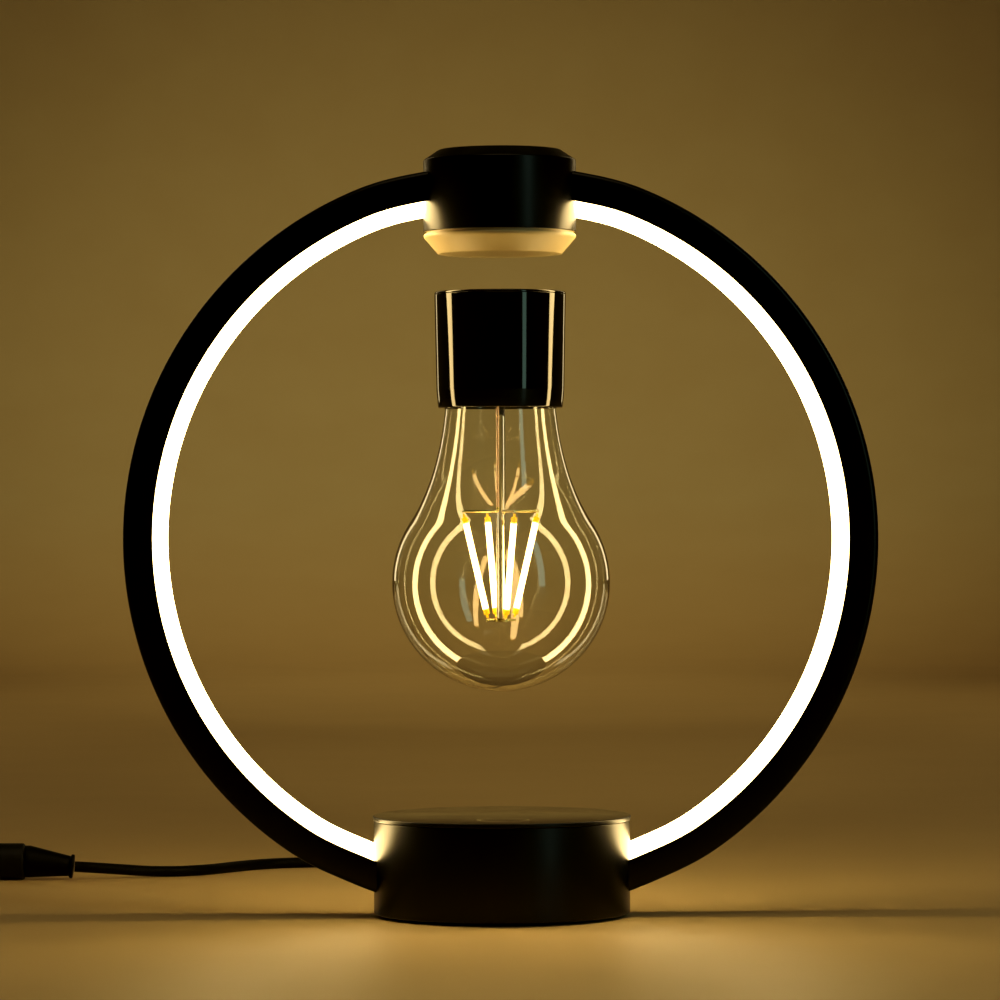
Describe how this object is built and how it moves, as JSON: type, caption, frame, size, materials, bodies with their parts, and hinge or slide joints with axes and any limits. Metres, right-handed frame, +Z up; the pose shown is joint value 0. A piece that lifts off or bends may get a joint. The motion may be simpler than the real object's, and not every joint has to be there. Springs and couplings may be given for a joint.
{
  "type": "levitating lamp",
  "caption": "Table lamp with a lit ring on a round base; a clear bulb with light filaments floats below a magnet module.",
  "frame": {"origin": "on the table under the middle of the base", "axes": "+Z up, -Y towards the front of the ring, +X to the right seen from the front"},
  "size_m": [0.277, 0.2019, 0.2104],
  "materials": {
    "satin_black_paint": "satin black paint",
    "touch_top": "satin black coat on the top disc",
    "diffuser_white": "milky, lit from behind",
    "strip_white": "white flexible strip with chips",
    "cover_white": "smooth off-white plastic",
    "gloss_black": "polished piano black",
    "clear_glass": "clear blown glass",
    "board_green": "green circuit board",
    "weight_iron": "raw casting",
    "black_nylon": "moulded black plastic",
    "screw_steel": "zinc-plated",
    "copper_wire": "enamelled copper wire",
    "ferrite_grey": "sintered ferrite",
    "magnet_nickel": "nickel-plated",
    "brass_wire": "bright wire",
    "filament_phosphor": "phosphor coat, lit",
    "black_rubber": "smooth soft rubber"
  },
  "bodies": {
    "lamp": {"base_shell": "satin_black_paint", "ring_channel_left": "satin_black_paint", "ring_channel_right": "satin_black_paint", "module_shell": "satin_black_paint", "touch_panel": "touch_top", "ring_diffuser_left": "diffuser_white", "ring_diffuser_right": "diffuser_white", "led_strip_left": "strip_white", "led_strip_right": "strip_white", "module_cover": "cover_white", "touch_sensor_board": "board_green", "driver_board": "board_green", "hall_sensor_board": "board_green", "module_board": "board_green", "base_weight": "weight_iron", "magnet_core": "weight_iron", "base_plate": "black_nylon", "lower_ring_clamp_left": "black_nylon", "lower_ring_clamp_right": "black_nylon", "upper_ring_clamp_left": "black_nylon", "upper_ring_clamp_right": "black_nylon", "coil_bobbin": "black_nylon", "cord_socket": "black_nylon", "housing_screw_1": "screw_steel", "housing_screw_2": "screw_steel", "housing_screw_3": "screw_steel", "housing_screw_4": "screw_steel", "lower_ring_screw_left": "screw_steel", "lower_ring_screw_right": "screw_steel", "upper_ring_screw_left": "screw_steel", "upper_ring_screw_right": "screw_steel", "coil_winding": "copper_wire", "transmitter_coil": "copper_wire", "transmitter_ferrite": "ferrite_grey", "socket_pin": "magnet_nickel", "rubber_foot_1": "black_rubber", "rubber_foot_2": "black_rubber", "rubber_foot_3": "black_rubber", "rubber_foot_4": "black_rubber", "cord_gland": "black_rubber", "supply_cord": "black_rubber", "cord_boot": "black_rubber"},
    "float_magnet": {"float_magnet": "magnet_nickel"},
    "bulb": {"cap_shell": "gloss_black", "cap_lid": "gloss_black", "magnet_holder": "black_nylon", "receiver_coil": "copper_wire", "receiver_board": "board_green", "neck_collar": "black_nylon", "glass_envelope": "clear_glass", "glass_stem": "clear_glass", "filament_carrier_left": "brass_wire", "filament_carrier_right": "brass_wire", "anchor_wires": "brass_wire", "light_filament_1": "filament_phosphor", "light_filament_2": "filament_phosphor", "light_filament_3": "filament_phosphor", "light_filament_4": "filament_phosphor"}
  },
  "joints": [
    {"name": "bulb_float", "type": "slide", "parent": "lamp", "child": "float_magnet", "axis": [0, 0, 1], "range_m": [-0.03, 0.0098], "stiffness_N_per_m": 60, "springref_m": 0.012},
    {"name": "bulb_spin", "type": "hinge", "parent": "float_magnet", "child": "bulb", "pos_m": [0, 0, 0.1], "axis": [0, 0, 1], "continuous": true}
  ]
}
